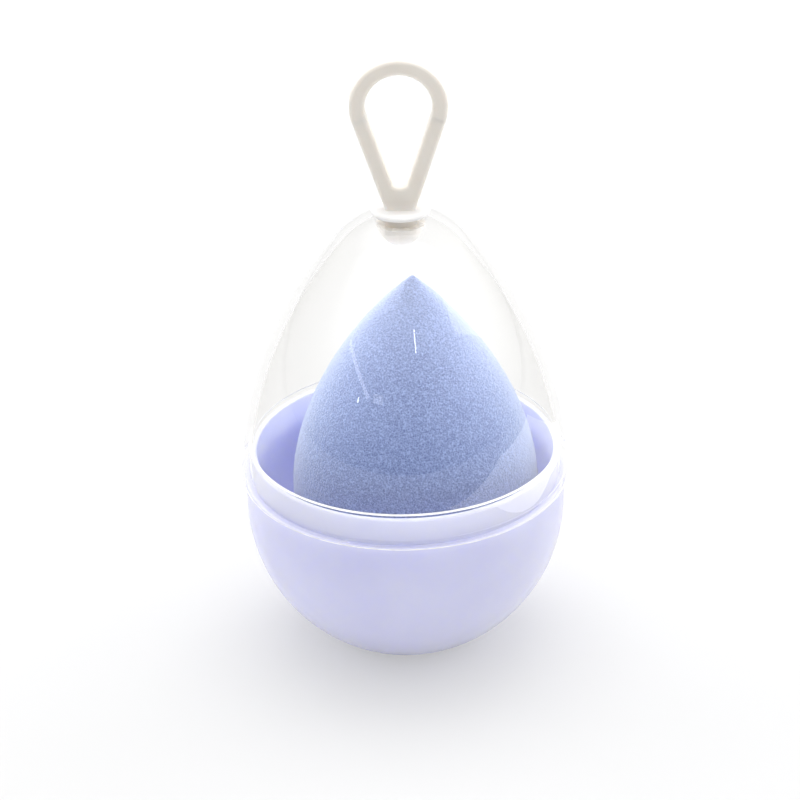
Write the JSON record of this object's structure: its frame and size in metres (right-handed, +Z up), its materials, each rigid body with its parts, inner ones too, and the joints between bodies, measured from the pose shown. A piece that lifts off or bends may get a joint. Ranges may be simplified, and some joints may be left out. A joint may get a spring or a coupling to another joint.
{
  "type": "makeup sponge in travel case",
  "caption": "Foam teardrop makeup sponge in an egg-shaped travel case with a lilac cup, a clear lift-off dome lid and a soft hanging loop.",
  "frame": {"origin": "middle of the cup's foot, on the surface that the case stands on", "axes": "+Z up through the lid's crown and the hanging loop; the loop lies flat in the XZ plane, and +X is to the right seen from the front"},
  "size_m": [0.06, 0.06, 0.1112],
  "materials": {
    "cup_plastic": "satin",
    "lid_plastic": "polished",
    "loop_silicone": "matte",
    "sponge_foam": "matte"
  },
  "bodies": {
    "cup": {"base_cup": "cup_plastic"},
    "lid": {"dome_lid": "lid_plastic"},
    "loop": {"hanging_loop": "loop_silicone"},
    "sponge": {"sponge": "sponge_foam"}
  },
  "joints": [
    {"name": "lid_lift", "type": "slide", "parent": "cup", "child": "lid", "axis": [0, 0, 1], "range_m": [0, 0.125]},
    {"name": "sponge_lift", "type": "slide", "parent": "cup", "child": "sponge", "axis": [0, 0, 1], "range_m": [0, 0.0625]},
    {"name": "loop_swivel", "type": "hinge", "parent": "lid", "child": "loop", "pos_m": [0, 0, 0.08345], "axis": [0, 0, 1], "continuous": true}
  ],
  "couplings": [
    {"joint": "sponge_lift", "follows": "lid_lift", "ratio": 0.5}
  ]
}
